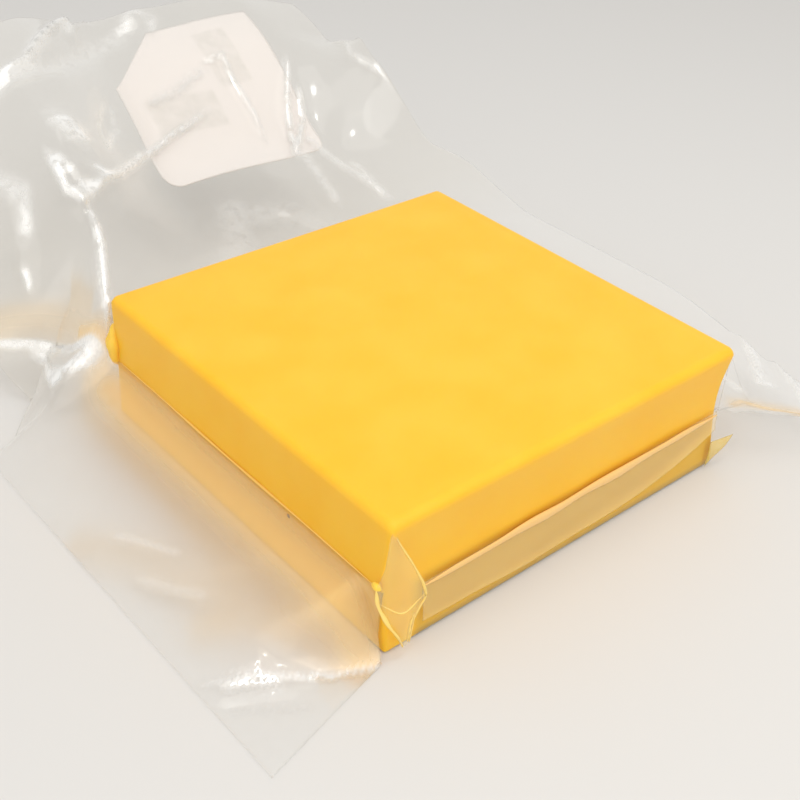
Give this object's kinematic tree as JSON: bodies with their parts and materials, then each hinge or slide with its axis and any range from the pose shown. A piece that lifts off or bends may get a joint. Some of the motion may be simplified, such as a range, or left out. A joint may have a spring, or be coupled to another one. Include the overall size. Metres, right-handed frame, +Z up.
{
  "type": "vacuum-packed cheddar block",
  "caption": "Flat square block of cheddar sealed in a clear vacuum pouch, with loose film beside it, a raised tail behind it and a plain paper label.",
  "frame": {"origin": "centre of the block's flat underside", "axes": "+Z up through the block, +Y towards the pouch's tail, and the block's front face, with the folded seal, looks along -Y"},
  "size_m": [0.1887, 0.2489, 0.0712],
  "materials": {
    "cheese": "smooth, slightly waxy cheddar seen through tight clear film",
    "clear_film": "clear glossy vacuum pouch film",
    "label_paper": "white matt label paper with faint grey print"
  },
  "bodies": {
    "root": {"vacuum_pouch": "cheese", "price_label": "label_paper"}
  },
  "joints": []
}
